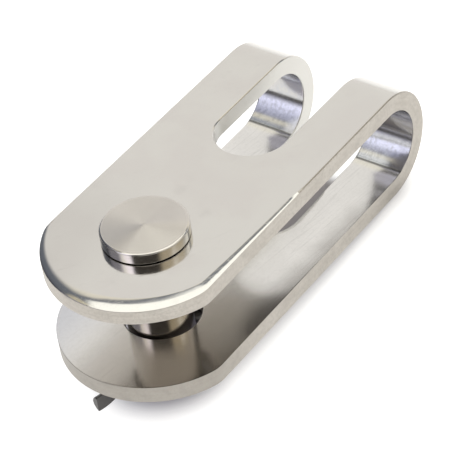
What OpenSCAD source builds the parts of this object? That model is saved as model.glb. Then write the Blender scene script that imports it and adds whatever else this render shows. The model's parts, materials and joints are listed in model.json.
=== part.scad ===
// Toggle strap terminal: a folded plate fork, its headed pin and the split pin that keeps it in.
// Millimetres. +Y runs from the jaw to the loops and +Z along the pin to its head.
// The origin is on the pin's axis, half way between the plates.

/* [Strap] */
// Width of the strap
strap_w = 33; // [28:0.5:40]
// Thickness of the strap's plate
plate_t = 3.4; // [2.4:0.1:4.6]
// Clear gap between the two plates
jaw_gap = 14.2; // [11:0.2:18]
// Pin axis to the axis of the bend
reach = 48; // [44:0.2:60]
// Pin axis to the tip of the rounded jaw end
nose_tip = 17.9; // [17.2:0.1:21]
// How much the jaw end's radius exceeds half the strap's width
nose_ease = 0.9; // [0.2:0.1:1.8]
// Width of the slot that parts the two loops
slot_w = 13.7; // [10:0.1:16]
// Pin axis to the closed end of the slot
slot_start = 24.1; // [20:0.1:28]
// Small bevel along the slot and the loops' outer edges
edge_bevel = 0.2; // [0.1:0.05:0.5]

/* [Polished edge roll] */
// How far the buffed roll reaches in at the jaw's tip
roll_w = 2.6; // [1.8:0.1:3.2]
// How far it reaches in at the +X corner
roll_near_w = 1.6; // [1:0.1:2.2]
// How far it reaches in at the -X corner
roll_far_w = 0.8; // [0.4:0.1:1.2]
// How far it reaches in round the lower plate
roll_low_w = 0.6; // [0.3:0.1:1.1]
// Radius that the roll is buffed to
roll_r = 5.2; // [4.5:0.1:7]
// Length along the +X side over which the roll dies out
roll_fade = 28; // [20:1:36]

/* [Pin] */
// Diameter of the pin's shank
pin_d = 11.5; // [10:0.1:12.5]
// How much the radius of the strap's holes exceeds the shank's
pin_fit = 1.05; // [0.8:0.05:1.1]
// How far the holes' centres lie behind the pin, which rests loosely towards the jaw's tip
hole_y = 0.7; // [0:0.1:0.7]
// Bevel on the rims of the strap's holes
hole_bevel = 0.15; // [0.1:0.05:0.7]
// How much the head's radius exceeds the shank's
head_lip = 1.8; // [1.8:0.05:3.5]
// Height of the head
head_h = 2.1; // [1.4:0.1:3.5]
// Width of the bevel around the head's top
head_bevel = 0.3; // [0.2:0.05:0.9]
// Height of the bevel around the head's top
head_bevel_h = 0.2; // [0.15:0.05:0.7]
// Gap between the head and the plate it sits on
head_gap = 0.2; // [0.05:0.05:0.4]
// Metal left between the cross hole and the pin's end
tail_wall = 1.2; // [1:0.1:3]
// Bevel on the pin's plain end
tail_bevel = 0.6; // [0.2:0.1:1]

/* [Split pin] */
// Diameter of the closed split pin
cotter_d = 2.9; // [2:0.1:3.6]
// Radial clearance of the split pin in its cross hole
cotter_fit = 0.15; // [0.05:0.05:0.3]
// Gap between the strap and the split pin below it
cotter_gap = 1.4; // [0.3:0.05:2]
// Gap between the two half-round legs
leg_split = 0.2; // [0.1:0.05:0.4]
// Reach of the long leg past the pin
long_leg = 12.3; // [10:0.1:15]
// Reach of the short leg past the pin
short_leg = 8.1; // [7:0.1:9.5]
// Radius that the legs are opened to
splay_r = 10; // [8:0.1:18]
// Angle that the legs are opened by
splay_deg = 20; // [10:1:25]
// Bevel on the cut ends of the legs
tip_bevel = 0.35; // [0.1:0.05:0.5]
// Inner radius of the eye
eye_r = 1.75; // [1.4:0.05:2.5]
// Radius of the necks where the legs run into the eye
neck_r = 2.1; // [1.9:0.1:3]
// How much the wire is drawn down, all round, where the legs bend
bend_draw = 0.02; // [0.01:0.01:0.1]
// Gap between the pin and the necks
eye_gap = 0.3; // [0.1:0.1:1]

/* [Hidden] */
$fn = 96;
// Run-out of every cutter past the face it cuts
over = 1;
// How far a bend of the wire runs into its neighbour
lap_deg = 1;
bend_r = jaw_gap / 2;
face_z = bend_r + plate_t;
nose_r = strap_w / 2 + nose_ease;
nose_y = nose_r - nose_tip;
corner_y = nose_y - sqrt(nose_r * nose_r - strap_w * strap_w / 4);
slot_r = slot_w / 2;
slot_y = slot_start + slot_r;
roll_h = roll_r - sqrt(roll_r * roll_r - roll_w * roll_w);
roll_yaw = atan(roll_near_w / roll_fade);
pin_r = pin_d / 2;
hole_r = pin_r + pin_fit;
head_r = pin_r + head_lip;
head_z = face_z + head_gap;
wire_r = cotter_d / 2;
cross_r = wire_r + cotter_fit;
cotter_z = -face_z - cotter_gap - wire_r;
tail_z = cotter_z - cross_r - tail_wall;
half_split = leg_split / 2;
neck_y = pin_r + eye_gap;
eye_y = neck_y + sqrt(pow(neck_r + eye_r, 2) - pow(neck_r + half_split, 2));
neck_turn = atan2(eye_y - neck_y, neck_r + half_split);

// Section of the plate as [across, depth] points, from the inner face at depth 0 to the outer face
plate_points = [
    [-strap_w / 2, 0],
    [strap_w / 2, 0],
    [strap_w / 2, plate_t - edge_bevel],
    [strap_w / 2 - edge_bevel, plate_t],
    [edge_bevel - strap_w / 2, plate_t],
    [-strap_w / 2, plate_t - edge_bevel]
];

// Section of the slot's cutter, flared where it leaves both faces
slot_flare = slot_r + edge_bevel + over;
slot_points = [
    [-slot_flare, -over],
    [slot_flare, -over],
    [slot_r, edge_bevel],
    [slot_r, plate_t - edge_bevel],
    [slot_flare, plate_t + over],
    [-slot_flare, plate_t + over],
    [-slot_r, plate_t - edge_bevel],
    [-slot_r, edge_bevel]
];

// Runs a plate section straight along the upper plate, from y0 to y1
module run_straight(points, y0, y1) {
    translate([0, y1, bend_r]) rotate([90, 0, 0]) linear_extrude(y1 - y0) polygon(points);
}

// Runs the same section round the bend
module run_bend(points) {
    translate([0, reach, 0]) rotate([0, 90, 0]) rotate_extrude(angle = 180)
        polygon([for (p = points) [bend_r + p[1], p[0]]]);
}

// Does the same to the upper and the lower plate
module both_plates() {
    children();
    mirror([0, 0, 1]) children();
}

// A round hole through the upper plate, with a bevel at both faces
module bevelled_hole(r, bevel) {
    flare = bevel + over;
    translate([0, 0, bend_r - over]) cylinder(r = r, h = plate_t + 2 * over);
    translate([0, 0, face_z - bevel]) cylinder(r1 = r, r2 = r + flare, h = flare);
    translate([0, 0, bend_r - over]) cylinder(r1 = r + flare, r2 = r, h = flare);
}

// What the buffed roll takes off round the jaw end, from its reach at the tip and at both corners
module nose_roll(tip_w, near_w, far_w) {
    shift_y = (tip_w - (near_w + far_w) / 2) / (1 - (nose_y - corner_y) / nose_r);
    shift_x = (far_w - near_w) * nose_r / strap_w;
    start = nose_r - tip_w + shift_y;
    translate([shift_x, nose_y + shift_y, 0]) rotate([0, 0, 180]) rotate_extrude(angle = 180) difference() {
        translate([start, face_z - roll_h]) square([roll_w + over, roll_h + over]);
        translate([start, face_z - roll_r]) circle(roll_r);
    }
}

// What the roll takes off the +X side, less and less towards the loops
module side_roll() {
    translate([strap_w / 2 - roll_near_w, corner_y, 0]) rotate([0, 0, -roll_yaw]) difference() {
        translate([0, -nose_tip, face_z - roll_h - over])
            cube([roll_w + over, nose_tip + roll_fade, roll_h + 2 * over]);
        translate([0, -nose_tip - over, face_z - roll_r]) rotate([-90, 0, 0])
            cylinder(r = roll_r, h = nose_tip + roll_fade + 2 * over);
    }
}

// The folded strap: two plates joined by the bend, with a slot that leaves two loops
module bent_strap() color([0.80, 0.78, 0.75]) difference() {
    union() {
        both_plates() intersection() {
            run_straight(plate_points, -nose_tip, reach);
            union() {
                translate([0, nose_y, 0]) cylinder(r = nose_r, h = face_z + over);
                translate([-strap_w, nose_y, 0]) cube([2 * strap_w, reach - nose_y, face_z + over]);
            }
        }
        run_bend(plate_points);
    }
    both_plates() {
        translate([0, hole_y, 0]) bevelled_hole(hole_r, hole_bevel);
        translate([0, slot_y, 0]) bevelled_hole(slot_r, edge_bevel);
        run_straight(slot_points, slot_y, reach);
    }
    run_bend(slot_points);
    nose_roll(roll_w, roll_near_w, roll_far_w);
    side_roll();
    mirror([0, 0, 1]) nose_roll(roll_low_w, roll_low_w, roll_low_w);
}

// The headed pin, turned from bar, with a cross hole near its plain end
module clevis_pin() color([0.70, 0.68, 0.66]) difference() {
    rotate_extrude() polygon([
        [0, tail_z],
        [pin_r - tail_bevel, tail_z],
        [pin_r, tail_z + tail_bevel],
        [pin_r, head_z],
        [head_r, head_z],
        [head_r, head_z + head_h - head_bevel_h],
        [head_r - head_bevel, head_z + head_h],
        [0, head_z + head_h]
    ]);
    translate([0, 0, cotter_z]) rotate([90, 0, 0]) cylinder(r = cross_r, h = 2 * pin_r + 2 * over, center = true);
}

// Half of a round section, with its flat on the axis
module half_round(r) {
    intersection() {
        circle(r);
        translate([0, -2 * r]) square([2 * r, 4 * r]);
    }
}

// Bends the drawn wire about Z from one angle to another, with its flat at radius r on the outside
module bent_wire(r, from, to) {
    rotate([0, 0, from]) rotate_extrude(angle = to - from)
        translate([r - bend_draw, 0]) mirror([1, 0]) half_round(wire_r - 2 * bend_draw);
}

// One leg on the -X side, from its neck to its opened end, this far past the pin
module leg(past_pin) {
    splay_y = splay_r * sin(splay_deg) - pin_r - past_pin;
    translate([-half_split, neck_y, 0]) rotate([90, 0, 0]) linear_extrude(neck_y - splay_y)
        mirror([1, 0]) half_round(wire_r);
    translate([-half_split - splay_r, splay_y, 0]) difference() {
        bent_wire(splay_r, -splay_deg, lap_deg);
        rotate([0, 0, -splay_deg]) for (side = [0, 1]) mirror([0, 0, side])
            translate([splay_r - wire_r - over, 0, wire_r - tip_bevel]) rotate([45, 0, 0])
                translate([0, -over, 0]) cube([wire_r + 2 * over, 2 * over, over]);
    }
    translate([-half_split - neck_r, neck_y, 0]) bent_wire(neck_r, -lap_deg, neck_turn + lap_deg);
}

// The split pin: one half-round wire bent into an eye and two legs
module cotter_pin() color([0.36, 0.35, 0.34]) translate([0, 0, cotter_z]) {
    leg(long_leg);
    mirror([1, 0, 0]) leg(short_leg);
    translate([0, eye_y, 0]) rotate([0, 0, -neck_turn]) rotate_extrude(angle = 180 + 2 * neck_turn)
        translate([eye_r, 0]) half_round(wire_r);
}

bent_strap();
clevis_pin();
cotter_pin();
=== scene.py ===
"""Looks of a strap toggle: a folded strap, its headed pin and its split pin, on a pale studio floor."""

import json
import math

import bmesh
import bpy
from bpy.props import FloatProperty, FloatVectorProperty, PointerProperty
from mathutils import Matrix, Vector


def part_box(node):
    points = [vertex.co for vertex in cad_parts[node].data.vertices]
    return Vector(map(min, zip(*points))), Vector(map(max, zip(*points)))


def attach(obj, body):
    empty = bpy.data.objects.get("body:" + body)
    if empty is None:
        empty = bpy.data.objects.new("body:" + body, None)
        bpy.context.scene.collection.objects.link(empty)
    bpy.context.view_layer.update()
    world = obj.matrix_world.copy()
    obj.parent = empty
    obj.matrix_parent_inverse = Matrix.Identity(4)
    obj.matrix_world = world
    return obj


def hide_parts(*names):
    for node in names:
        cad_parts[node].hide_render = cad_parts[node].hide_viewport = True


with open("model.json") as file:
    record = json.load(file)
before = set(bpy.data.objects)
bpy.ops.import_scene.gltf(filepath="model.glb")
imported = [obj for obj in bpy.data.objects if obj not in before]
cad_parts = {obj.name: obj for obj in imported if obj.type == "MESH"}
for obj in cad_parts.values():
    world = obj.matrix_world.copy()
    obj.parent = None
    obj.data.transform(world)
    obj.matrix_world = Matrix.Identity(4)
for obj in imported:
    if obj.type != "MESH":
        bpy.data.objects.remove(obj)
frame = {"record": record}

bl_info = {
    "name": "Strap toggle",
    "version": (1, 0, 0),
    "blender": (4, 5, 0),
    "location": "View3D > Sidebar > Strap toggle",
    "description": "Builds a polished strap toggle with its pin and split pin, and a studio stage for it",
    "category": "Object",
}

MM = 0.001
TAU = 2 * math.pi
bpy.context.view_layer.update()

# What the frame gives: the boxes of the solids and the two mounts
MOUNTS = {mount["name"]: mount for mount in frame["record"]["mounts"]}
STRAP_LOW, STRAP_HIGH = (Vector(corner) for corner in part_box("bent_strap"))
PIN_LOW, PIN_HIGH = (Vector(corner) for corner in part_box("clevis_pin"))
WIRE_LOW, WIRE_HIGH = (Vector(corner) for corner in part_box("cotter_pin"))
BEND_RADIUS = MOUNTS["loop_seat"]["dims"]["r_mm"] * MM
PIN_RADIUS = MOUNTS["jaw_pin"]["dims"]["r_mm"] * MM

# How finely the round shapes are drawn
ROLL_STEPS = 16
NOSE_STEPS = 96
SIDE_STEPS = 120
CORNER_STEPS = 12
SLOT_STEPS = 64
HOLE_STEPS = 96
BEND_STEPS = 72
TURN_STEPS = 128
PATCH_STEPS = 14
RIM_RINGS = 4
WORN_STEPS = 6
LEG_STEPS = 6
SECTION_POINTS = 25
ARC_STEP = math.radians(4)

# Points of the pin's section on the face of its head, and how sharp a bend of the wire's surface is a crease
FACE_POINTS = 3
CREASE = math.radians(40)

# The roll: how much of its reach the shoulder takes, where its fade stops, and where across X it turns crisp
SHOULDER_LEAST, SHOULDER_SHARE, SHOULDER_MOST = 0.1 * MM, 0.37, 0.9
ROLL_STOP = 0.94
CRISP_FROM, CRISP_TO = -3 * MM, 4.5 * MM
STEP_FROM, STEP_TO = -2 * MM, 14 * MM
ROLL_NEIGHBOURS = 4

# The slot's wear: how far it spreads, in slot radii, and the most of the plate's thickness that it takes
WEAR_SPREAD, WEAR_DEPTH = 1.3, 1 / 6

# The light cards lean over towards +X, and the top one has a slanting left end
CARD_SLANT = 0.53
TOP_END_SLOPE, TOP_END_RISE = 0.554, 1.213

CLIP_START, CLIP_END = 0.01, 20.0

# Kinds of face on the strap
BUFFED, CUT, INNER = 0, 1, 2


def length(name, description, default):
    return FloatProperty(name=name, description=description, default=default,
                         subtype="DISTANCE", unit="LENGTH", precision=5)


def angle(name, description, degrees):
    return FloatProperty(name=name, description=description, default=math.radians(degrees),
                         subtype="ANGLE", unit="ROTATION")


def factor(name, description, default):
    return FloatProperty(name=name, description=description, default=default,
                         min=0.0, max=1.0, subtype="FACTOR")


def colour(name, description, default):
    return FloatVectorProperty(name=name, description=description, default=default,
                               size=3, min=0.0, soft_max=1.0, subtype="COLOR")


class StrapSizes(bpy.types.PropertyGroup):
    """Sizes of the folded strap"""

    width: length("Width", "Width of the strap", STRAP_HIGH.x - STRAP_LOW.x)
    bend_radius: length("Bend radius", "Inner radius of the loops", BEND_RADIUS)
    plate: length("Plate", "Thickness of the plate", STRAP_HIGH.z - BEND_RADIUS)
    reach: length("Reach", "Pin axis to the axis of the bend", MOUNTS["loop_seat"]["pos_m"][1])
    nose_tip: length("Nose tip", "Pin axis to the tip of the rounded jaw end", -STRAP_LOW.y)
    nose_ease: length("Nose ease", "How much the jaw end's radius exceeds half the width", 0.9 * MM)
    slot_width: length("Slot width", "Width of the slot between the loops", 13.7 * MM)
    slot_start: length("Slot start", "Pin axis to the closed end of the slot", 24.1 * MM)
    corner_round: length("Corner round", "Radius where the jaw end runs into the sides", 6 * MM)
    roll_tip: length("Roll tip", "How far the buffed roll reaches in at the jaw's tip", 2.6 * MM)
    roll_near: length("Roll near", "How far it reaches in at the +X corner", 1.6 * MM)
    roll_far: length("Roll far", "How far it reaches in at the -X corner", 0.8 * MM)
    roll_low: length("Roll low", "How far it reaches in round the lower plate", 0.6 * MM)
    roll_tilt: angle("Roll tilt", "Tilt of the roll at its outer edge", 28)
    shoulder_tilt: angle("Shoulder tilt", "Tilt that the roll's shoulder reaches where it is crisp", 14.3)
    step_tilt: angle("Step tilt", "Tilt that the roll starts with at the +X corner", 12.5)
    roll_fade: length("Roll fade", "Length along the +X side over which the roll dies out", 28 * MM)
    roll_end: length("Roll end", "How far it still reaches in where it ends on the +X side", 0.6 * MM)
    edge_round: length("Edge round", "Rounding of the other edges", 0.2 * MM)
    edge_soft: length("Edge softness", "Size of the break on the crisp edges", 0.06 * MM)
    slot_bevel: length("Slot bevel", "Bevel on the slot's outer edges", 0.2 * MM)
    slot_worn: length("Slot wear", "Rounding of the lower slot's inner edge at its +X corner", 1.0 * MM)
    pin_fit: length("Pin fit", "How much the holes' radius exceeds the pin's", 1.05 * MM)
    hole_offset: length("Hole offset", "How far the holes' centres lie behind the pin", 0.7 * MM)
    hole_bevel: length("Hole bevel", "Bevel on the rims of the pin holes", 0.15 * MM)


class PinSizes(bpy.types.PropertyGroup):
    """Sizes of the headed pin"""

    radius: length("Shank radius", "Radius of the shank", PIN_RADIUS)
    head_radius: length("Head radius", "Radius of the head", PIN_HIGH.x)
    head_top: length("Head top", "Height of the head's face", PIN_HIGH.z)
    head_height: length("Head height", "Height of the head", 2.1 * MM)
    head_bevel: length("Head bevel", "Width of the bevel around the head's face", 0.3 * MM)
    head_bevel_height: length("Head bevel height", "Height of that bevel", 0.2 * MM)
    tail: length("Tail", "Depth of the plain end below the jaw's middle", -PIN_LOW.z)
    tail_bevel: length("Tail bevel", "Bevel on the plain end", 0.6 * MM)
    pip_radius: length("Pip radius", "Radius of the centre mark on the head", 0.45 * MM)
    pip_depth: length("Pip depth", "Depth of the centre mark on the head", 0.1 * MM)
    cross_fit: length("Cross hole fit", "Radial clearance of the split pin", 0.15 * MM)
    edge_soft: length("Edge softness", "Size of the break on the edges", 0.12 * MM)


class WireSizes(bpy.types.PropertyGroup):
    """Sizes of the split pin"""

    radius: length("Wire radius", "Radius of the closed split pin", (WIRE_HIGH.z - WIRE_LOW.z) / 2)
    height: length("Height", "Height of the split pin's axis", (WIRE_HIGH.z + WIRE_LOW.z) / 2)
    split: length("Split", "Gap between the two legs", 0.2 * MM)
    long_leg: length("Long leg", "Reach of the long leg past the pin", 12.3 * MM)
    short_leg: length("Short leg", "Reach of the short leg past the pin", 8.1 * MM)
    splay_radius: length("Splay radius", "Radius that the legs are opened to", 10 * MM)
    splay: angle("Splay", "Angle that the legs are opened by", 20)
    eye_radius: length("Eye radius", "Inner radius of the eye", 1.75 * MM)
    neck_radius: length("Neck radius", "Radius where a leg runs into the eye", 2.1 * MM)
    eye_gap: length("Eye gap", "Gap between the pin and the necks", 0.3 * MM)
    tip_length: length("Tip length", "Length of the bevelled end of a leg", 0.12 * MM)
    tip_scale: factor("Tip scale", "Size of a leg's end against the wire", 0.94)


class Finishes(bpy.types.PropertyGroup):
    """Colours of the steel"""

    buffed_cream: colour("Buffed cream", "Warm tone of the buffed faces", (0.648, 0.634, 0.606))
    buffed_rose: colour("Buffed rose", "Rosy tone of the buffed faces", (0.632, 0.612, 0.588))
    cut_light: colour("Cut light", "Light grain of the cut edges", (0.505, 0.474, 0.432))
    cut_dark: colour("Cut dark", "Dark grain of the cut edges", (0.44, 0.409, 0.368))
    slot_steel: colour("Slot steel", "Steel of the slot's walls", (0.72, 0.715, 0.69))
    # Stain and grime, and also painted shade: the colour that darkens the steel between the plates near the
    # pin and along the lower plate's +X edge.
    stain_and_shade_steel: colour("Stained steel", "Steel of the inner faces near the pin", (0.495, 0.465, 0.425))
    inner_steel: colour("Inner steel", "Steel of the inner faces", (0.73, 0.72, 0.705))
    # Wear with a painted reflection: the bright bluish tone of the loops' seats stands in for reflected light.
    seat_wear_and_sheen: colour("Seat steel", "Steel worn bright in the loops' seats", (0.81, 0.83, 0.91))
    turned_steel: colour("Turned steel", "Steel of the pin", (0.64, 0.61, 0.575))
    # Painted shade: the split pin's steel is made nearly black for the shade it lies in under the lower plate.
    shaded_wire_steel: colour("Drawn steel", "Steel of the split pin", (0.075, 0.072, 0.07))


class StageSizes(bpy.types.PropertyGroup):
    """The camera's place and the stage's light"""

    azimuth: angle("Azimuth", "Turn of the camera about Z, from the jaw's front", 40.716)
    elevation: angle("Elevation", "Height angle of the camera", 40.129)
    roll: angle("Roll", "Roll of the camera", -8.578)
    distance: length("Distance", "Camera to its target", 401.2 * MM)
    target: FloatVectorProperty(name="Target", description="Point that the camera looks at",
                                default=(3.562 * MM, 16.924 * MM, 0.0), size=3, subtype="XYZ")
    lens: FloatProperty(name="Lens", description="Focal length in millimetres", default=184.65, unit="CAMERA")
    floor_half: length("Floor half size", "Half the size of the floor", 3.0)
    floor_colour: colour("Floor colour", "Colour of the floor", (0.62, 0.62, 0.62))
    # Painted shadow: the floor's own colour is darkened under the object.
    painted_shadow_colour: colour("Shade colour", "Colour of the floor under the object", (0.3, 0.275, 0.25))
    floor_glow: colour("Floor glow", "Light up through the floor round the object", (0.8, 0.8, 0.8))
    far_glow: colour("Far glow", "Light up through the floor far from the object", (0.55, 0.55, 0.55))
    far_start: length("Far start", "How far from the middle line the floor starts to darken", 60 * MM)
    far_end: length("Far end", "How far from the middle line it has its far tone", 300 * MM)
    under_glow: colour("Under glow", "Light up through the floor under the object", (0.05, 0.05, 0.07))
    front_glow: colour("Front glow", "Light up through the floor before the jaw", (0.05, 0.05, 0.095))
    front_start: length("Front start", "Where along the strap the front glow starts to fade", -15 * MM)
    front_end: length("Front end", "Where along the strap it ends", 5 * MM)
    glow_start: length("Glow start", "How far from the middle line the brighter light starts", 8 * MM)
    glow_width: length("Glow width", "Distance over which it grows to its full strength", 7.5 * MM)
    glow_taper: length("Glow taper", "How much further out it starts beside the loops", 5 * MM)


class LightColours(bpy.types.PropertyGroup):
    """Colours of the studio's walls and light cards"""

    rear_left: colour("Rear left", "Left end of the wall behind the object", (0.06, 0.065, 0.085))
    rear: colour("Rear", "Rest of the wall behind the object", (0.2, 0.22, 0.26))
    front: colour("Front", "Room behind the camera", (0.07, 0.064, 0.058))
    skirt: colour("Skirt", "Low pale cloth before the object and on its right", (0.6, 0.585, 0.56))
    drape: colour("Drape", "Pale drape behind the object", (1.03, 1.01, 0.975))
    drape_top: colour("Drape top", "Upper end of the drape", (1.1, 1.05, 0.9))
    left_wall: colour("Left wall", "Grey wall far to the left", (0.42, 0.42, 0.5))
    left_box: colour("Left box", "Soft box on the left", (1.36, 1.34, 1.52))
    left_core: colour("Left core", "Bright middle of the left box", (2.3, 2.25, 2.5))
    right_card: colour("Right card", "Warm card on the right", (0.82, 0.73, 0.54))
    glint: colour("Glint", "Narrow warm card high on the left", (0.75, 0.69, 0.52))
    top_box: colour("Top box", "Soft box above the object", (1.62, 1.62, 1.52))


class Wire:
    """An output socket in a node tree. Arithmetic on it adds Math nodes."""

    def __init__(self, tree, socket):
        self.tree = tree
        self.socket = socket

    def math(self, operation, *values):
        return Graph(self.tree).math(operation, *values)

    def __abs__(self):
        return self.math("ABSOLUTE", self)

    def __add__(self, other):
        return self.math("ADD", self, other)

    def __radd__(self, other):
        return self.math("ADD", other, self)

    def __sub__(self, other):
        return self.math("SUBTRACT", self, other)

    def __rsub__(self, other):
        return self.math("SUBTRACT", other, self)

    def __mul__(self, other):
        return self.math("MULTIPLY", self, other)

    def __rmul__(self, other):
        return self.math("MULTIPLY", other, self)

    def __truediv__(self, other):
        return self.math("DIVIDE", self, other)


class Graph:
    """Adds nodes to one tree."""

    def __init__(self, tree):
        self.tree = tree

    def feed(self, socket, value):
        """Links a Wire to a socket, or sets the socket's own value."""
        if isinstance(value, Wire):
            self.tree.links.new(value.socket, socket)
        else:
            socket.default_value = value

    def node(self, kind, settings=None, inputs=None, out=0):
        """Adds a node, sets it up and feeds it. Returns one output as a Wire, or the node if out is None."""
        node = self.tree.nodes.new(kind)
        for name, value in (settings or {}).items():
            setattr(node, name, value)
        for name, value in (inputs or {}).items():
            self.feed(node.inputs[name], value)
        return node if out is None else Wire(self.tree, node.outputs[out])

    def math(self, operation, *values):
        return self.node("ShaderNodeMath", {"operation": operation}, dict(enumerate(values)))

    def axes(self, place):
        """The X, Y and Z of a place."""
        node = self.node("ShaderNodeSeparateXYZ", None, {0: place}, None)
        return [Wire(self.tree, output) for output in node.outputs]

    def distance(self, first, second):
        """How far a step leads that goes this far along two axes at right angles."""
        step = self.node("ShaderNodeCombineXYZ", None, {"X": first, "Y": second})
        return self.node("ShaderNodeVectorMath", {"operation": "LENGTH"}, {0: step}, "Value")

    def smooth(self, value, low, high):
        """0 below low, 1 above high, with a soft step between them."""
        return self.node("ShaderNodeMapRange", {"interpolation_type": "SMOOTHSTEP"},
                         {"Value": value, "From Min": low, "From Max": high})

    def fall(self, value, low, high):
        """1 below low, 0 above high, with a soft step between them."""
        return 1.0 - self.smooth(value, low, high)

    def mix(self, amount, first, second):
        """Mixes two colours, each a Wire or red, green and blue, through the Mix node's colour sockets."""
        first, second = (rgb if isinstance(rgb, Wire) else (*rgb, 1.0) for rgb in (first, second))
        return self.node("ShaderNodeMix", {"data_type": "RGBA"}, {0: amount, 6: first, 7: second}, 2)

    def layers(self, tint, *layers):
        """Lays colours over a tint, each given with its amount."""
        for amount, rgb in layers:
            tint = self.mix(amount, tint, rgb)
        return tint


class Steel(Graph):
    """The nodes of one metal material, with patterns that follow the place on the piece."""

    def __init__(self, name, anisotropic=0.0):
        self.material = bpy.data.materials.new(name)
        self.material.use_nodes = True
        super().__init__(self.material.node_tree)
        self.tree.nodes.clear()
        constants = {"Metallic": 1.0, "Anisotropic": anisotropic, "Anisotropic Rotation": 0.25}
        self.shader = self.node("ShaderNodeBsdfPrincipled", None, constants, None)
        surface = Wire(self.tree, self.shader.outputs["BSDF"])
        self.node("ShaderNodeOutputMaterial", None, {"Surface": surface}, None)
        self.place = self.node("ShaderNodeTexCoord", out="Object")

    def noise(self, scale, detail=2.0, place=None):
        inputs = {"Vector": place or self.place, "Scale": scale, "Detail": detail}
        return self.node("ShaderNodeTexNoise", None, inputs, "Fac")

    def spots(self, scale, detail, low, high):
        """Soft-edged spots where the noise is high."""
        return self.smooth(self.noise(scale, detail), low, high)

    def grain(self, scale, detail=2.0, turn=0.0):
        """Noise that is turned about Z and then scaled along each axis, so that it runs one way."""
        turned = self.node("ShaderNodeMapping", None, {"Vector": self.place, "Rotation": (0.0, 0.0, turn)})
        place = self.node("ShaderNodeMapping", None, {"Vector": turned, "Scale": scale})
        return self.noise(1.0, detail, place)

    def hairlines(self, turn, scale, thin):
        """1 on fine lines that run one way, 0 elsewhere."""
        return self.fall(abs(self.grain(scale, 1.0, turn) - 0.5), 0.0, thin)

    def finish(self, tint, roughness, height, depth):
        """Feeds the colour, the roughness and a bump of this depth in metres. Returns the material."""
        bump = self.node("ShaderNodeBump", None, {"Height": height, "Distance": depth}, "Normal")
        for name, wire in (("Base Color", tint), ("Roughness", roughness), ("Normal", bump)):
            self.feed(self.shader.inputs[name], wire)
        return self.material


def shade(rgb, part):
    """A colour at a part of its strength."""
    return [part * channel for channel in rgb]


def buffed_face(colours):
    """The strap's outer faces: softly buffed, with faint clouds and a few hairline scratches."""
    metal = Steel("buffed_face")
    across, along, _ = metal.axes(metal.place)
    clouds = metal.noise(95.0, 3.0)
    fine = metal.noise(2600.0)
    waves = metal.noise(260.0, 1.0)
    smudge = metal.spots(130.0, 4.0, 0.6, 0.75)
    scratch = metal.hairlines(0.5, (900.0, 60.0, 900.0), 0.006)
    cross = metal.hairlines(-0.9, (1400.0, 90.0, 1400.0), 0.005)
    # The outer faces turn darker towards the jaw's front on its -X side.
    darker_front_left = metal.fall(across, -12 * MM, 4 * MM) * metal.fall(along, -4 * MM, 14 * MM)
    tint = metal.mix(metal.smooth(clouds, 0.38, 0.62), colours.buffed_cream, colours.buffed_rose)
    tint = metal.layers(
        tint,
        (0.35 * smudge, shade(colours.buffed_rose, 0.86)),
        (0.55 * darker_front_left + 0.2 * scratch + 0.14 * cross, shade(colours.buffed_rose, 0.84)),
    )
    roughness = 0.07 + 0.04 * clouds + 0.05 * fine + 0.08 * scratch
    height = 0.7 * waves + 0.05 * fine - 0.12 * scratch - 0.08 * cross
    return metal.finish(tint, roughness, height, 0.012 * MM)


def cut_edge(colours, sizes):
    """The cut sides of the plate: satin, with streaks along its layers, milled slot walls, grime, and painted
    shade on the lower plate's edge at the jaw.
    """
    metal = Steel("cut_edge")
    across, along, up = metal.axes(metal.place)
    grain = metal.grain((5200.0, 5200.0, 2600.0))
    layer = metal.distance(metal.math("MAXIMUM", along - sizes.reach, 0.0), up)
    lay = {"X": 90.0 * across, "Y": 90.0 * along, "Z": 2600.0 * layer}
    streaks = metal.noise(1.0, place=metal.node("ShaderNodeCombineXYZ", None, lay))
    patches = metal.noise(260.0)
    milled = metal.smooth(along, 15 * MM, 22 * MM) * metal.fall(abs(across), 7.5 * MM, 9 * MM)
    rough_cut = 1.0 - milled
    speck = metal.spots(2400.0, 3.0, 0.42, 0.68)
    grime = metal.spots(620.0, 4.0, 0.48, 0.68) * rough_cut
    # Painted shade: the lower plate's cut edge turns darker, and its grime heavier, towards the jaw's front.
    wear_and_shade = metal.fall(up, -MM, MM) * metal.fall(along, -8 * MM, 6 * MM)
    # Painted shade: a dark line along the top of the lower plate's cut edge, at the jaw's front and on its -X
    # half.
    lip_shade = metal.smooth(up + sizes.bend_radius, -0.4 * MM, -0.12 * MM) * metal.fall(across, 0.0, 8 * MM)
    mixed = metal.smooth(0.25 * grain + 0.4 * streaks + 0.35 * patches, 0.36, 0.62)
    tint = metal.layers(
        metal.mix(mixed, colours.cut_dark, colours.cut_light),
        (0.75 * milled, colours.slot_steel),
        (0.5 * wear_and_shade, shade(colours.cut_dark, 0.6)),
        (0.32 * speck * rough_cut, shade(colours.cut_dark, 0.72)),
        ((0.14 + 0.34 * wear_and_shade) * grime, shade(colours.stain_and_shade_steel, 0.62)),
        (0.6 * wear_and_shade * lip_shade, shade(colours.stain_and_shade_steel, 0.3)),
    )
    roughness = 0.34 + 0.08 * grain + 0.08 * streaks
    return metal.finish(tint, roughness, 0.5 * grain + 0.6 * streaks + 0.4 * patches, 0.02 * MM)


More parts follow.
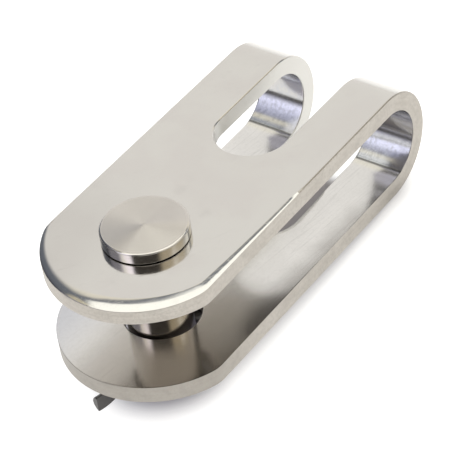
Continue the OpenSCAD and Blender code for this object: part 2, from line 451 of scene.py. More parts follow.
def inner_face(colours, sizes):
    """The strap's inner faces: mill finish, scuffed, with a stain darkened by painted shade near the pin,
    painted shade along the lower plate's +X edge, a crease at the bend darkened by painted shade, and bright
    bluish seats in the loops: wear with a painted reflection, and painted shade above them.
    """
    metal = Steel("inner_face")
    across, along, up = metal.axes(metal.place)
    past = along - sizes.reach
    low = metal.fall(up, -MM, MM)
    clouds = metal.noise(140.0, 3.0)
    fine = metal.noise(3000.0)
    waves = metal.noise(210.0, 1.0)
    lines = metal.grain((5200.0, 160.0, 160.0))
    scuff = metal.hairlines(0.7, (1100.0, 50.0, 900.0), 0.008)
    drag = metal.hairlines(0.12, (650.0, 22.0, 300.0), 0.02)
    speck = metal.spots(2300.0, 3.0, 0.45, 0.7)
    pitted = metal.spots(1300.0, 3.0, 0.44, 0.66)
    # Stain with painted shade: darker, browner steel round the pin, between the plates.
    stain_and_shade = metal.smooth(across, -11 * MM, 2 * MM) * metal.fall(along, 4 * MM, 17 * MM)
    # Bluer, darker grey towards the -X front of the lower plate.
    bluish_left_front = low * metal.fall(across, -15 * MM, -4 * MM) * metal.fall(along, -2 * MM, 16 * MM)
    # Painted shade: a darker brown band along the lower plate's +X edge, under the upper plate's edge.
    near_edge_shade = low * metal.smooth(across + 3 * MM * (clouds - 0.5), 11.5 * MM, 17 * MM)
    near_edge_shade = near_edge_shade * metal.fall(along, 34 * MM, 44 * MM)
    # A crease where the bend starts on the lower plate: a bump, darkened with painted shade.
    mark = low * metal.fall(abs(past - 2.1 * MM), 0.05 * MM, 0.4 * MM)
    # Painted reflection and shade in the loops: bright bluish seats, which are also worn, and darker steel
    # above them.
    shade_above_seat = metal.smooth(up, -4.5 * MM, -1.5 * MM)
    loop = metal.layers(
        metal.mix(shade_above_seat, colours.seat_wear_and_sheen, shade(colours.inner_steel, 0.78)),
        (0.38 * pitted, shade(colours.seat_wear_and_sheen, 0.6)),
    )
    plate = metal.mix(metal.smooth(clouds, 0.35, 0.65), colours.inner_steel, shade(colours.inner_steel, 0.96))
    tint = metal.layers(
        plate,
        (stain_and_shade, colours.stain_and_shade_steel),
        (metal.smooth(past, MM, 5 * MM), loop),
        (0.75 * bluish_left_front, shade(colours.seat_wear_and_sheen, 0.66)),
        (0.5 * near_edge_shade, shade(colours.stain_and_shade_steel, 0.55)),
        (0.1 * drag, shade(colours.stain_and_shade_steel, 0.55)),
        (mark, shade(colours.inner_steel, 0.4)),
        (0.06 * speck, shade(colours.stain_and_shade_steel, 0.6)),
    )
    roughness = 0.12 + 0.05 * clouds + 0.05 * lines - 0.03 * stain_and_shade
    height = 0.08 * waves + 0.12 * lines + 0.1 * fine - 0.06 * scuff - 1.5 * mark
    return metal.finish(tint, roughness, height, 0.018 * MM)


def turned_side(colours):
    """The pin's shank and the side of its head: turned bright, with fine rings."""
    metal = Steel("turned_side", 0.35)
    rings = metal.grain((60.0, 60.0, 9000.0))
    clouds = metal.noise(500.0)
    tint = metal.mix(clouds, colours.turned_steel, shade(colours.turned_steel, 0.9))
    return metal.finish(tint, 0.1 + 0.06 * rings + 0.06 * clouds, rings + 0.3 * clouds, 0.004 * MM)


def turned_face(colours):
    """The head's face: faced on a lathe and slightly crowned, so light fans out from its centre."""
    metal = Steel("turned_face", 0.85)
    across, along, _ = metal.axes(metal.place)
    away = metal.distance(across, along)
    rings = metal.node("ShaderNodeTexNoise", {"noise_dimensions": "1D"},
                       {"W": away, "Scale": 9000.0, "Detail": 2.0}, "Fac")
    clouds = metal.noise(260.0, 3.0)
    tint = metal.mix(clouds, colours.turned_steel, shade(colours.turned_steel, 0.9))
    depth = 0.003 * MM
    crown = away * (0.14 / depth)
    return metal.finish(tint, 0.26 + 0.06 * rings + 0.08 * clouds, rings + 0.4 * clouds - crown, depth)


def drawn_wire(colours):
    """The split pin's wire: dull and nearly black, which is painted shade, with drawing lines."""
    metal = Steel("drawn_wire")
    lines = metal.grain((3000.0, 300.0, 3000.0))
    clouds = metal.noise(700.0)
    tint = metal.mix(clouds, colours.shaded_wire_steel, shade(colours.shaded_wire_steel, 1.3))
    return metal.finish(tint, 0.26 + 0.12 * lines + 0.08 * clouds, lines, 0.01 * MM)


def soften(points, corners, size):
    """Rounds the corners with these indices of a polyline, each with three points."""
    rounded = []
    for index, point in enumerate(points):
        here = Vector(point)
        if index not in corners:
            rounded.append(here)
            continue
        before = here + (Vector(points[index - 1]) - here).normalized() * size
        after = here + (Vector(points[index + 1]) - here).normalized() * size
        rounded += [before, (before + 2 * here + after) / 4, after]
    return rounded


def share_of(value, low, high):
    """0 below low, 1 above high, and in step between them."""
    return min(1.0, max(0.0, (value - low) / (high - low)))


def roll_slopes(sizes, run, x):
    """Slopes across the roll: an even curve at -X, and a shoulder and a nearly flat bevel at +X."""
    crisp = share_of(x, CRISP_FROM, CRISP_TO)
    start = sizes.step_tilt * share_of(x, STEP_FROM, STEP_TO)
    shoulder = min(SHOULDER_MOST, SHOULDER_LEAST / run + SHOULDER_SHARE)
    slopes = []
    for step in range(ROLL_STEPS):
        share = (step + 0.5) / ROLL_STEPS
        even = sizes.roll_tilt * share
        left = 1 - share_of(share, 0.0, shoulder)
        bevel = (sizes.roll_tilt - sizes.shoulder_tilt) * share_of(share, shoulder, 1.0)
        quick = sizes.shoulder_tilt - (sizes.shoulder_tilt - start) * left * left + bevel
        slopes.append(math.tan(even + (quick - even) * crisp))
    return slopes


def roll_profile(sizes, run, slopes):
    """The jaw's edge as (inset, depth) points from the outer face to the inner one, and each face's kind."""
    drop = max(run * sum(slopes) / ROLL_STEPS, sizes.edge_round)
    depth = sizes.plate
    points = [(run, depth)]
    for step, slope in enumerate(slopes, 1):
        depth -= drop * slope / sum(slopes)
        points.append((run * (1 - step / ROLL_STEPS), depth))
    points += [(0.0, 0.0), (sizes.edge_soft * 3, 0.0)]
    soft = min(sizes.edge_soft, run / ROLL_STEPS / 2)
    profile = soften(points, (ROLL_STEPS, ROLL_STEPS + 1), soft)
    rolled = BUFFED if run > 2 * sizes.edge_round else CUT
    return profile, [rolled] * ROLL_STEPS + [CUT] * (len(profile) - 2 - ROLL_STEPS) + [INNER]


def bevel_profile(bevel, plate, soft):
    """A bevelled edge of a hole as (inset, depth) points, and each face's kind."""
    outer = [(bevel * 2, plate), (bevel, plate), (0.0, plate - bevel)]
    inner = [(0.0, bevel), (bevel, 0.0), (bevel * 2, 0.0)]
    profile = soften(outer + inner, (1, 2, 3, 4), soft)
    return profile, [BUFFED] + [CUT] * (len(profile) - 3) + [INNER]


def slot_profile(bevel, wear_and_shade, plate, soft):
    """The slot's edge as (inset, depth) points: bevelled outside, rounded inside, and each face's kind."""
    top = soften([(bevel * 2, plate), (bevel, plate), (0.0, plate - bevel), (0.0, plate / 2)], (1, 2), soft)
    turns = [math.pi / 2 * step / WORN_STEPS for step in range(WORN_STEPS + 1)]
    drop = min(wear_and_shade, plate * WEAR_DEPTH)
    inner = [Vector((wear_and_shade * (1 - math.cos(a)), drop * (1 - math.sin(a)))) for a in turns]
    profile = top[:-1] + inner + [Vector((wear_and_shade + bevel, 0.0))]
    return profile, [BUFFED] * 4 + [CUT] * (len(top) - 5 + WORN_STEPS) + [INNER]


def smoothed(values):
    """A list of numbers with each step in it spread over its neighbours."""
    reach = ROLL_NEIGHBOURS
    spans = [values[max(0, index - reach):index + reach + 1] for index in range(len(values))]
    return [sum(span) / len(span) for span in spans]


def spaced(start, end, steps):
    """Evenly spaced points from start up to, but not with, end."""
    return [Vector(start).lerp(Vector(end), step / steps) for step in range(steps)]


def mirrored(path):
    """A path of points and normals on the other side of the middle line, from its end to its start."""
    return [(Vector((-p.x, p.y)), Vector((-out.x, out.y))) for p, out in reversed(path)]


class Blank:
    """The strap before it is folded: X across, Y along both plates, upper one first, Z through the plate."""

    def __init__(self, sizes):
        self.sizes = sizes
        self.mesh = bmesh.new()
        self.kind = self.mesh.faces.layers.int.new("kind")
        self.bend = math.pi * (sizes.bend_radius + sizes.plate / 2)
        self.whole = 2 * sizes.reach + self.bend
        self.half = sizes.width / 2
        self.nose_radius = self.half + sizes.nose_ease
        self.nose_y = self.nose_radius - sizes.nose_tip

    def finish(self, face, kind):
        face.smooth = True
        face[self.kind] = kind

    def face(self, corners, kind):
        self.finish(self.mesh.faces.new(corners), kind)

    def column(self, point, normal, profile, lower):
        """The vertices of one edge profile, at a point of the outline whose normal leads out of the metal."""
        column = []
        for inset, depth in profile:
            x, y = point - normal * inset
            column.append(self.mesh.verts.new((x, self.whole - y if lower else y, depth)))
        return column

    def band(self, columns, kinds, closed=False):
        """Faces between neighbouring columns, with each column's kinds of face."""
        following = columns[1:] + columns[:1] if closed else columns[1:]
        for left, right, column_kinds in zip(columns, following, kinds):
            for index, kind in enumerate(column_kinds):
                self.face((left[index], right[index], right[index + 1], left[index + 1]), kind)

    def fill(self, loops, kind):
        """Fills the flat space between closed loops of vertices."""
        edges = []
        for loop in loops:
            for pair in zip(loop, loop[1:] + loop[:1]):
                edges.append(self.mesh.edges.get(pair) or self.mesh.edges.new(pair))
        filled = bmesh.ops.triangle_fill(self.mesh, use_beauty=True, edges=edges)
        for face in filled["geom"]:
            if isinstance(face, bmesh.types.BMFace):
                self.finish(face, kind)

    def outline(self, lower):
        """Points, normals and edge profiles from one leg round the jaw end to the other leg."""
        s, half = self.sizes, self.half
        aside = half - s.corner_round
        corner_y = self.nose_y - math.sqrt((self.nose_radius - s.corner_round) ** 2 - aside ** 2)
        spread = math.atan2(aside, self.nose_y - corner_y)

        def arc(centre, radius, start, end, steps):
            turns = [start + (end - start) * step / steps for step in range(steps + 1)]
            outs = [Vector((math.sin(turn), -math.cos(turn))) for turn in turns]
            return [(Vector(centre) + out * radius, out) for out in outs]

        side = [(p, Vector((-1, 0))) for p in spaced((-half, s.reach), (-half, corner_y), SIDE_STEPS)]
        corner = arc((-aside, corner_y), s.corner_round, -math.pi / 2, -spread, CORNER_STEPS)[:-1]
        nose = arc((0, self.nose_y), self.nose_radius, -spread, spread, NOSE_STEPS)
        path = side + corner + nose + mirrored(side + corner)
        runs = smoothed([self.roll_run(point, lower) for point, _ in path])
        return [(point, out, self.rolled_edge(point, run, lower)) for (point, out), run in zip(path, runs)]

    def roll_run(self, point, lower):
        """How far the buffed roll reaches in at a point of the outline."""
        s, nose_radius = self.sizes, self.nose_radius
        rise = math.sqrt(nose_radius ** 2 - self.half ** 2)
        tip, near, far = (s.roll_low,) * 3 if lower else (s.roll_tip, s.roll_near, s.roll_far)
        shift = (tip - (near + far) / 2) / (1 - rise / nose_radius)
        centre = Vector(((far - near) * nose_radius / s.width, self.nose_y + shift))
        run = (point - centre).length - nose_radius + tip - shift if point.y < centre.y else 0.0
        faded = (point.y - self.nose_y + rise) / s.roll_fade
        if point.x > 0 and 0 < faded < ROLL_STOP and not lower:
            run = max(run, s.roll_end + (near - s.roll_end) * (1 - faded) ** 2)
        return max(run, s.edge_round)

    def rolled_edge(self, point, run, lower):
        slopes = roll_slopes(self.sizes, run, CRISP_FROM if lower else point.x)
        return roll_profile(self.sizes, run, slopes)

    def slot(self, lower):
        """Points, normals and edge profiles from one leg round the slot's closed end to the other leg."""
        s = self.sizes
        radius = s.slot_width / 2
        centre = Vector((0, s.slot_start + radius))
        side = [(p, Vector((1, 0))) for p in spaced((-radius, s.reach), (-radius, centre.y), SIDE_STEPS)]
        end = []
        for step in range(SLOT_STEPS + 1):
            turn = math.pi * (1 + step / SLOT_STEPS)
            out = Vector((math.cos(turn), math.sin(turn)))
            end.append((centre + out * radius, -out))
        path = side + end + mirrored(side)
        worst = centre + Vector((radius, 0))
        wear_and_shade = []
        for point, _ in path:
            share = max(0.0, 1 - (point - worst).length / (WEAR_SPREAD * radius)) if lower else 0.0
            wear_and_shade.append(s.edge_round + (s.slot_worn - s.edge_round) * math.sqrt(share))
        return [(point, out, slot_profile(s.slot_bevel, size, s.plate, s.edge_soft))
                for (point, out), size in zip(path, wear_and_shade)]

    def hole(self):
        """Points and normals round the pin hole."""
        radius = PIN_RADIUS + self.sizes.pin_fit
        centre = Vector((0, self.sizes.hole_offset))
        turns = [TAU * step / HOLE_STEPS for step in range(HOLE_STEPS)]
        outs = [Vector((math.cos(turn), math.sin(turn))) for turn in turns]
        return [(centre + out * radius, -out) for out in outs]

    def add_plate(self, lower):
        """One flat plate with its edges. Returns the columns where each leg starts, outside and slot side."""
        s = self.sizes
        rim, rim_kinds = bevel_profile(s.hole_bevel, s.plate, s.edge_soft)
        edges = []
        for path in (self.outline(lower), self.slot(lower)):
            columns = [self.column(point, out, profile, lower) for point, out, (profile, _) in path]
            edges.append((columns, [kinds for _, _, (_, kinds) in path]))
        (outer, outer_kinds), (slot, slot_kinds) = edges
        hole = [self.column(point, out, rim, lower) for point, out in self.hole()]
        self.leg_kinds = outer_kinds[0] + [INNER] + slot_kinds[0][::-1] + [BUFFED]
        self.band(outer, outer_kinds)
        self.band(slot, slot_kinds)
        self.band(hole, [rim_kinds] * len(hole), closed=True)
        for level, kind in ((0, BUFFED), (-1, INNER)):
            around = [column[level] for column in outer + slot[::-1]]
            self.fill([around, [column[level] for column in hole]], kind)
        return [(outer[0], slot[0]), (outer[-1], slot[-1])]

    def add_legs(self, uppers, lowers):
        """The two legs that the bend takes in, from the upper plate's ends to the lower plate's."""
        for upper, lower in zip(uppers, lowers):
            first = upper[0] + upper[1][::-1]
            last = lower[0] + lower[1][::-1]
            rows = [first]
            for step in range(1, BEND_STEPS):
                y = self.sizes.reach + self.bend * step / BEND_STEPS
                rows.append([self.mesh.verts.new((v.co.x, y, v.co.z)) for v in first])
            rows.append(last)
            for here, after in zip(rows, rows[1:]):
                for index, kind in enumerate(self.leg_kinds):
                    nearby = (index + 1) % len(first)
                    self.face((here[index], here[nearby], after[nearby], after[index]), kind)


def plain_object(name, mesh):
    piece = bpy.data.objects.new(name, mesh)
    bpy.context.scene.collection.objects.link(piece)
    return piece


def mesh_object(name, built, materials=()):
    """Makes an object of a bmesh with its faces turned outwards."""
    bmesh.ops.recalc_face_normals(built, faces=built.faces)
    mesh = bpy.data.meshes.new(name)
    built.to_mesh(mesh)
    built.free()
    for material in materials:
        mesh.materials.append(material)
    return plain_object(name, mesh)


def settle(piece):
    """Turns a piece with its modifiers into a plain mesh."""
    weighted = piece.modifiers.new("weighted_normals", "WEIGHTED_NORMAL")
    weighted.keep_sharp = True
    graph = bpy.context.evaluated_depsgraph_get()
    shaped = piece.evaluated_get(graph)
    mesh = bpy.data.meshes.new_from_object(shaped, preserve_all_data_layers=True, depsgraph=graph)
    mesh.name = piece.name
    piece.modifiers.clear()
    piece.data = mesh
    return piece


def dress(piece, node, body):
    """Lets a piece stand for its CAD node."""
    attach(piece, body)
    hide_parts(node)


class ShapeTree(Graph):
    """A Geometry Nodes tree with named inputs for its sizes."""

    def __init__(self, name, sizes):
        super().__init__(bpy.data.node_groups.new(name, "GeometryNodeTree"))
        sockets = self.tree.interface
        for way in ("INPUT", "OUTPUT"):
            sockets.new_socket(name="Geometry", in_out=way, socket_type="NodeSocketGeometry")
        self.sizes = {}
        for size, value in sizes.items():
            socket = sockets.new_socket(name=size, in_out="INPUT", socket_type="NodeSocketFloat")
            self.sizes[socket.identifier] = value
        start = self.node("NodeGroupInput", out=None)
        self.given = {socket.name: Wire(self.tree, socket) for socket in start.outputs if socket.name}

    def end(self, shape, materials):
        """Makes instances real and gives each kind of face its material."""
        shape = self.node("GeometryNodeRealizeInstances", None, {"Geometry": shape})
        kind = self.node("GeometryNodeInputNamedAttribute", {"data_type": "INT"}, {"Name": "kind"})
        for number, material in enumerate(materials):
            same = {"data_type": "INT", "operation": "EQUAL"}
            chosen = self.node("FunctionNodeCompare", same, {2: kind, 3: number})
            shape = self.node("GeometryNodeSetMaterial", None,
                              {"Geometry": shape, "Selection": chosen, "Material": material})
        self.node("NodeGroupOutput", None, {"Geometry": shape}, None)

    def apply_to(self, piece):
        modifier = piece.modifiers.new(self.tree.name, "NODES")
        modifier.node_group = self.tree
        for identifier, value in self.sizes.items():
            modifier[identifier] = value


def fold_strap(piece, sizes, materials):
    """Folds a flat blank round a bend: what lies past Reach goes round and comes back as the lower plate."""
    inputs = {"Reach": sizes.reach, "Bend radius": sizes.bend_radius, "Plate": sizes.plate}
    tree = ShapeTree("fold_strap", inputs)
    reach, radius, plate = (tree.given[name] for name in inputs)
    across, along, depth = tree.axes(tree.node("GeometryNodeInputPosition"))
    neutral = radius + plate / 2.0
    past = along - reach
    turn = tree.node("ShaderNodeClamp", None, {"Value": past / neutral, "Min": 0.0, "Max": math.pi})
    rest = past - turn * neutral
    sine, cosine = tree.math("SINE", turn), tree.math("COSINE", turn)
    out = radius + depth
    folded = tree.node("ShaderNodeCombineXYZ", None, {
        "X": across,
        "Y": reach + out * sine + rest * cosine,
        "Z": out * cosine - rest * sine,
    })
    flat = tree.given["Geometry"]
    tree.end(tree.node("GeometryNodeSetPosition", None, {"Geometry": flat, "Position": folded}), materials)
    tree.apply_to(piece)


class TOGGLE_OT_bent_strap(bpy.types.Operator):
    """Cut the strap's blank and fold it into the fork"""

    bl_idname = "toggle.bent_strap"
    bl_label = "Bent strap"

    def execute(self, context):
        sizes = context.scene.toggle_strap
        colours = context.scene.toggle_finishes
        blank = Blank(sizes)
        uppers = blank.add_plate(lower=False)
        lowers = blank.add_plate(lower=True)
        blank.add_legs(uppers, lowers)
        strap = mesh_object("folded_strap", blank.mesh)
        fold_strap(strap, sizes, [buffed_face(colours), cut_edge(colours, sizes), inner_face(colours, sizes)])
        dress(settle(strap), "bent_strap", "strap")
        return {"FINISHED"}


def pin_profile(sizes, wire):
    """The pin's half section as (radius, height) points, end to head, and the cross hole's first row."""
    patch = PATCH_STEPS * TAU * sizes.radius / TURN_STEPS
    low = wire.height - patch / 2
    head_low = sizes.head_top - sizes.head_height
    end = soften(
        [(0.0, -sizes.tail), (sizes.radius - sizes.tail_bevel, -sizes.tail),
         (sizes.radius, sizes.tail_bevel - sizes.tail), (sizes.radius, low)],
        (1, 2), sizes.edge_soft)[:-1]
    wall = [Vector((sizes.radius, low + patch * step / PATCH_STEPS)) for step in range(PATCH_STEPS + 1)]
    head = soften(
        [(sizes.radius, low + patch), (sizes.radius, head_low), (sizes.head_radius, head_low),
         (sizes.head_radius, sizes.head_top - sizes.head_bevel_height),
         (sizes.head_radius - sizes.head_bevel, sizes.head_top), (sizes.pip_radius, sizes.head_top),
         (0.0, sizes.head_top - sizes.pip_depth)],
        (1, 2, 3, 4), sizes.edge_soft)[1:]
    return end + wall + head, len(end)


def build_pin(sizes, wire):
    """The pin as turned, with a cross hole whose rims are let into its wall."""
    built = bmesh.new()
    profile, first_row = pin_profile(sizes, wire)
    face_row = len(profile) - FACE_POINTS
    columns = []
    for step in range(TURN_STEPS):
        turn = TAU * step / TURN_STEPS
        cosine, sine = math.cos(turn), math.sin(turn)
        columns.append([built.verts.new((r * cosine, r * sine, z)) for r, z in profile[1:-1]])
    bottom = built.verts.new((0, 0, profile[0].y))
    top = built.verts.new((0, 0, profile[-1].y))
    centres = [TURN_STEPS // 4, 3 * TURN_STEPS // 4]
    half = PATCH_STEPS // 2
    low_row = first_row - 1

    def face(corners, on_face=False):
        made = built.faces.new(corners)
        made.smooth = True
        made.material_index = 1 if on_face else 0

    for step in range(TURN_STEPS):
        here, after = columns[step], columns[(step + 1) % TURN_STEPS]
        in_patch = any(-half <= step - centre < half for centre in centres)
        for row in range(len(here) - 1):
            if not (in_patch and low_row <= row < low_row + PATCH_STEPS):
                face((here[row], after[row], after[row + 1], here[row + 1]), row + 1 >= face_row)
        face((bottom, after[0], here[0]))
        face((here[-1], after[-1], top), True)

    mouths = []
    for centre, way in zip(centres, (-1, 1)):
        across = [columns[centre + way * offset] for offset in range(-half, half + 1)]
        border = [column[low_row] for column in across]
        border += [across[-1][low_row + row] for row in range(1, PATCH_STEPS + 1)]
        border += [column[low_row + PATCH_STEPS] for column in across[-2::-1]]
        border += [across[0][low_row + row] for row in range(PATCH_STEPS - 1, 0, -1)]
        mouths.append(cross_mouth(built, face, border, sizes, wire, -way))
    for index in range(len(mouths[0])):
        after = (index + 1) % len(mouths[0])
        face((mouths[0][index], mouths[0][after], mouths[1][after], mouths[1][index]))
    return built


def cross_mouth(built, face, border, sizes, wire, side):
    """Rings from a square border on the pin's wall to the cross hole's rim. Returns the innermost ring."""
    radius = wire.radius + sizes.cross_fit
    rim = radius + sizes.edge_soft
    rings = [border]
    for number in range(1, RIM_RINGS + 1):
        share = number / RIM_RINGS
        ring = []
        for vertex in border:
            start = Vector((sizes.radius * math.asin(vertex.co.x / sizes.radius), vertex.co.z - wire.height))
            end = start.normalized() * rim
            place = start.lerp(end, share)
            turn = place.x / sizes.radius
            ring.append(built.verts.new((sizes.radius * math.sin(turn), side * sizes.radius * math.cos(turn),
                                         wire.height + place.y)))
        rings.append(ring)
    inside = []
    for vertex in rings[-1]:
        out = Vector((vertex.co.x, vertex.co.z - wire.height)).normalized() * radius
        inside.append(built.verts.new((out.x, vertex.co.y - side * sizes.edge_soft, wire.height + out.y)))
    rings.append(inside)
    for outer, inner in zip(rings, rings[1:]):
        for index in range(len(outer)):
            after = (index + 1) % len(outer)
            face((outer[index], outer[after], inner[after], inner[index]))
    return inside


class TOGGLE_OT_clevis_pin(bpy.types.Operator):
    """Turn the headed pin and drill its cross hole"""

    bl_idname = "toggle.clevis_pin"
    bl_label = "Clevis pin"

    def execute(self, context):
        colours = context.scene.toggle_finishes
        built = build_pin(context.scene.toggle_pin, context.scene.toggle_wire)
        pin = mesh_object("headed_pin", built, [turned_side(colours), turned_face(colours)])
        dress(settle(pin), "clevis_pin", "pin")
        return {"FINISHED"}


def arc_points(centre, radius, start, end):
    """Points along an arc, without its last one."""
    steps = max(2, round(abs(end - start) / ARC_STEP))
    turns = [start + (end - start) * step / steps for step in range(steps)]
    return [Vector((centre[0] + radius * math.cos(t), centre[1] + radius * math.sin(t))) for t in turns]


def wire_path(sizes, pin_radius):
    """The middle of the wire's flat side, from the long leg's tip round the eye to the short leg's tip."""
    half = sizes.split / 2
    neck_y = pin_radius + sizes.eye_gap
    eye_y = neck_y + math.sqrt((sizes.neck_radius + sizes.eye_radius) ** 2 - (sizes.neck_radius + half) ** 2)
    neck_turn = math.atan2(eye_y - neck_y, sizes.neck_radius + half)

    def leg(past_pin):
        splay_y = sizes.splay_radius * math.sin(sizes.splay) - pin_radius - past_pin
        points = arc_points((-half - sizes.splay_radius, splay_y), sizes.splay_radius, -sizes.splay, 0.0)
        along = (points[1] - points[0]).normalized()
        points.insert(1, points[0] + along * sizes.tip_length)
        points += spaced((-half, splay_y), (-half, neck_y), LEG_STEPS)
        return points + arc_points((-half - sizes.neck_radius, neck_y), sizes.neck_radius, 0.0, neck_turn)

    eye = arc_points((0.0, eye_y), sizes.eye_radius, math.pi + neck_turn, -neck_turn)
    back = [Vector((-p.x, p.y)) for p in reversed(leg(sizes.short_leg))]
    return leg(sizes.long_leg) + eye + [Vector((sizes.eye_radius * math.cos(neck_turn),
                                                eye_y - sizes.eye_radius * math.sin(neck_turn)))] + back


def sweep_wire(piece, radius, material):
    """Sweeps a half-round section along a piece's path of edges, thinner where the path says so."""
    tree = ShapeTree("sweep_wire", {"Wire radius": radius})
    path = tree.node("GeometryNodeMeshToCurve", None, {"Mesh": tree.given["Geometry"]})
    path = tree.node("GeometryNodeSetCurveNormal", {"mode": "Z_UP"}, {"Curve": path})
    thin = tree.node("GeometryNodeInputNamedAttribute", {"data_type": "FLOAT"}, {"Name": "thin"})
    section = tree.node("GeometryNodeCurveArc", {"mode": "RADIUS"}, {
        "Resolution": SECTION_POINTS,
        "Radius": tree.given["Wire radius"],
        "Start Angle": math.pi / 2,
        "Sweep Angle": math.pi,
        "Connect Center": True,
    })
    swept = {"Curve": path, "Profile Curve": section, "Scale": thin, "Fill Caps": True}
    shape = tree.node("GeometryNodeCurveToMesh", None, swept)
    shape = tree.node("GeometryNodeSetShadeSmooth", None, {"Geometry": shape})
    bent = tree.node("GeometryNodeInputMeshEdgeAngle", out="Unsigned Angle")
    crease = tree.node("FunctionNodeCompare", {"operation": "GREATER_THAN"}, {0: bent, 1: CREASE})
    shape = tree.node("GeometryNodeSetShadeSmooth", {"domain": "EDGE"},
                      {"Geometry": shape, "Selection": crease, "Shade Smooth": False})
    shape = tree.node("GeometryNodeStoreNamedAttribute", {"data_type": "INT", "domain": "FACE"},
                      {"Geometry": shape, "Name": "kind", "Value": 0})
    tree.end(shape, [material])
    tree.apply_to(piece)


class TOGGLE_OT_cotter_pin(bpy.types.Operator):
    """Bend the split pin's wire into its eye and two legs"""

    bl_idname = "toggle.cotter_pin"
    bl_label = "Cotter pin"

    def execute(self, context):
        sizes = context.scene.toggle_wire
        points = wire_path(sizes, context.scene.toggle_pin.radius)
        mesh = bpy.data.meshes.new("wire_path")
        mesh.from_pydata([(p.x, p.y, sizes.height) for p in points],
                         [(i, i + 1) for i in range(len(points) - 1)], [])
        thin = mesh.attributes.new("thin", "FLOAT", "POINT")
        thin.data.foreach_set("value", [1.0] * len(points))
        for end in (0, -1):
            thin.data[end].value = sizes.tip_scale
        wire = plain_object("split_pin", mesh)
        sweep_wire(wire, sizes.radius, drawn_wire(context.scene.toggle_finishes))
        dress(settle(wire), "cotter_pin", "pin")
        return {"FINISHED"}


def floor_slope(pin, strap):
    """Tilt of the floor under the pin's end and the loops, and the radius of the pin's rim that it touches."""
    rim = pin.radius - pin.tail_bevel
    along, up = strap.reach - rim, pin.tail
    outer = strap.bend_radius + strap.plate
    return math.acos(outer / math.hypot(along, up)) - math.atan2(along, up), rim


def camera_axes(stage):
    """The camera's right, up and backward directions."""
    az, el = stage.azimuth, stage.elevation
    back = Vector((math.sin(az) * math.cos(el), -math.cos(az) * math.cos(el), math.sin(el)))
    right = Vector((math.cos(az), math.sin(az), 0.0))
    up = back.cross(right)
    turned = right * math.cos(stage.roll) + up * math.sin(stage.roll)
    return turned, up * math.cos(stage.roll) - right * math.sin(stage.roll), back


def floor_paper(stage, strap):
    """White paper that is lit from below all round the object and through its slot, and less under it."""
    material = bpy.data.materials.new("floor_paper")
    material.use_nodes = True
    graph = Graph(material.node_tree)
    reach, slot = strap.reach, strap.slot_width
    across, along, _ = graph.axes(graph.node("ShaderNodeTexCoord", out="Object"))
    nearest = graph.node("ShaderNodeClamp", None, {"Value": along, "Min": 0.0, "Max": reach})
    away = graph.distance(across, along - nearest)
    edge = stage.glow_start + nearest * (stage.glow_taper / reach)
    clear = graph.smooth(away - edge, 0.0, stage.glow_width)
    through = graph.smooth(along, 0.94 * reach, 1.02 * reach)
    through = through * graph.fall(abs(across), slot / 3, slot * 2 / 3)
    beyond = graph.smooth(along, reach, 1.2 * reach)
    clear = 1.0 - (1.0 - clear) * (1.0 - through) * (1.0 - beyond)
    lit = graph.mix(graph.smooth(away, stage.far_start, stage.far_end), stage.floor_glow, stage.far_glow)
    behind_front = graph.smooth(along, stage.front_start, stage.front_end)
    under = graph.mix(behind_front, stage.front_glow, stage.under_glow)
    feeds = {
        # Painted shadow: the paper's colour darkens under the object.
        "Base Color": graph.mix(clear, stage.painted_shadow_colour, stage.floor_colour),
        "Emission Color": graph.mix(clear, under, lit),
        "Emission Strength": 1.0,
        "Roughness": 0.9,
        "Specular IOR Level": 0.1,
    }
    shader = graph.tree.nodes["Principled BSDF"]
    for name, value in feeds.items():
        graph.feed(shader.inputs[name], value)
    return material


def add_floor(stage, strap, pin):
    """The floor that the pin's end and the loops' underside touch."""
    tilt, rim = floor_slope(pin, strap)
    built = bmesh.new()
    bmesh.ops.create_grid(built, x_segments=1, y_segments=1, size=stage.floor_half)
    floor = mesh_object("floor", built, [floor_paper(stage, strap)])
    floor.data.transform(Matrix.Translation((0, rim, -pin.tail)) @ Matrix.Rotation(tilt, 4, "X"))


def add_camera(stage):
    right, up, back = camera_axes(stage)
    data = bpy.data.cameras.new("camera")
    data.lens = stage.lens
    data.clip_start = CLIP_START
    data.clip_end = CLIP_END
    camera = plain_object("camera", data)
    turn = Matrix((right, up, back)).transposed().to_4x4()
    camera.matrix_world = Matrix.Translation(Vector(stage.target) + back * stage.distance) @ turn
    bpy.context.scene.camera = camera


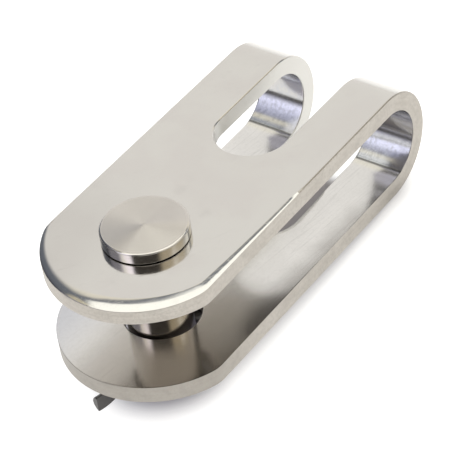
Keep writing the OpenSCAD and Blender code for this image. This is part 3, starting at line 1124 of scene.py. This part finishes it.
def add_light(stage, colours):
    """A studio of light cards round the object, drawn on the world by direction."""
    world = bpy.data.worlds.new("studio")
    bpy.context.scene.world = world
    world.use_nodes = True
    graph = Graph(world.node_tree)
    graph.tree.nodes.clear()
    way = graph.node("ShaderNodeTexCoord", out="Generated")
    sine, cosine = math.sin(stage.azimuth), math.cos(stage.azimuth)
    back, side, up = (
        graph.node("ShaderNodeVectorMath", {"operation": "DOT_PRODUCT"}, {0: way, 1: direction}, "Value")
        for direction in ((-sine, cosine, 0.0), (cosine, sine, 0.0), (0.0, 0.0, 1.0))
    )
    rise = graph.math("ARCTAN2", up, back)
    turn = graph.math("ARCTAN2", side, 0.0 - back)
    slant = rise + CARD_SLANT * graph.math("MAXIMUM", side, 0.0)
    top_end = side + TOP_END_SLOPE * (rise - TOP_END_RISE)

    def between(value, low, high, soft, soft_high=None):
        """1 between two values, with soft edges."""
        fade = soft_high or soft
        return graph.smooth(value, low - soft, low + soft) * graph.fall(value, high - fade, high + fade)

    def degrees(value, *limits):
        """1 between two angles, with all limits in degrees."""
        return between(value, *(math.radians(limit) for limit in limits))

    rear = graph.mix(graph.smooth(side, -0.75, -0.5), colours.rear_left, colours.rear)
    room = graph.mix(graph.smooth(back, -0.3, 0.3), colours.front, rear)
    skirt = graph.fall(up, 0.3, 0.5) * graph.smooth(side, -0.5, -0.2) * graph.fall(back, -0.1, 0.3)
    drape = graph.mix(degrees(slant, 52, 90, 8), colours.drape, colours.drape_top)
    left_box = degrees(turn, -75.5, -43.5, 7.5, 4.5) * between(up, 0.15, 0.84, 0.15, 0.08)
    top_box = degrees(slant, 71, 150, 1.5) * graph.fall(rise, math.radians(112), math.radians(122))
    top_box = top_box * graph.smooth(top_end, -0.37, -0.31) * graph.fall(side, 0.66, 0.78)
    light = graph.layers(
        room,
        (skirt, colours.skirt),
        (degrees(slant, -60, 64, 3) * between(side, -0.32, 0.9, 0.12), drape),
        (degrees(turn, -112, -70, 7) * between(up, 0.5, 0.8, 0.08), colours.left_wall),
        (left_box, colours.left_box),
        (degrees(turn, -70, -46, 4) * between(up, 0.57, 0.73, 0.03), colours.left_core),
        (degrees(turn, 28, 105, 9) * between(up, 0.45, 0.82, 0.05), colours.right_card),
        (degrees(rise, 68, 86, 3) * between(side, -0.6, -0.45, 0.03), colours.glint),
        (top_box, colours.top_box),
    )
    shown = graph.node("ShaderNodeBackground", None, {"Color": light, "Strength": 1.0})
    graph.node("ShaderNodeOutputWorld", None, {"Surface": shown}, None)


class TOGGLE_OT_stage(bpy.types.Operator):
    """Set up the floor, the studio light and the camera"""

    bl_idname = "toggle.stage"
    bl_label = "Stage"

    def execute(self, context):
        scene = context.scene
        stage = scene.toggle_stage
        add_floor(stage, scene.toggle_strap, scene.toggle_pin)
        add_camera(stage)
        add_light(stage, scene.toggle_lights)
        scene.view_settings.view_transform = "Standard"
        return {"FINISHED"}


class TOGGLE_PT_panel(bpy.types.Panel):
    """Lists the pieces of the toggle"""

    bl_idname = "TOGGLE_PT_panel"
    bl_label = "Strap toggle"
    bl_space_type = "VIEW_3D"
    bl_region_type = "UI"
    bl_category = "Strap toggle"

    def draw(self, context):
        for operator in OPERATORS:
            self.layout.operator(operator.bl_idname)
        for name in GROUPS:
            group = getattr(context.scene, name)
            box = self.layout.box()
            box.label(text=group.bl_rna.description)
            for key in group.bl_rna.properties.keys():
                if key not in ("rna_type", "name"):
                    box.prop(group, key)


OPERATORS = (TOGGLE_OT_stage, TOGGLE_OT_bent_strap, TOGGLE_OT_clevis_pin, TOGGLE_OT_cotter_pin)
GROUPS = {
    "toggle_strap": StrapSizes,
    "toggle_pin": PinSizes,
    "toggle_wire": WireSizes,
    "toggle_finishes": Finishes,
    "toggle_stage": StageSizes,
    "toggle_lights": LightColours,
}


def register():
    for group in GROUPS.values():
        bpy.utils.register_class(group)
    for kind in OPERATORS + (TOGGLE_PT_panel,):
        bpy.utils.register_class(kind)
    for name, group in GROUPS.items():
        setattr(bpy.types.Scene, name, PointerProperty(type=group))


def unregister():
    for name in GROUPS:
        delattr(bpy.types.Scene, name)
    for kind in reversed(tuple(GROUPS.values()) + OPERATORS + (TOGGLE_PT_panel,)):
        bpy.utils.unregister_class(kind)


def main():
    register()
    bpy.ops.toggle.stage()
    bpy.ops.toggle.bent_strap()
    bpy.ops.toggle.clevis_pin()
    bpy.ops.toggle.cotter_pin()


if __name__ == "__main__":
    main()
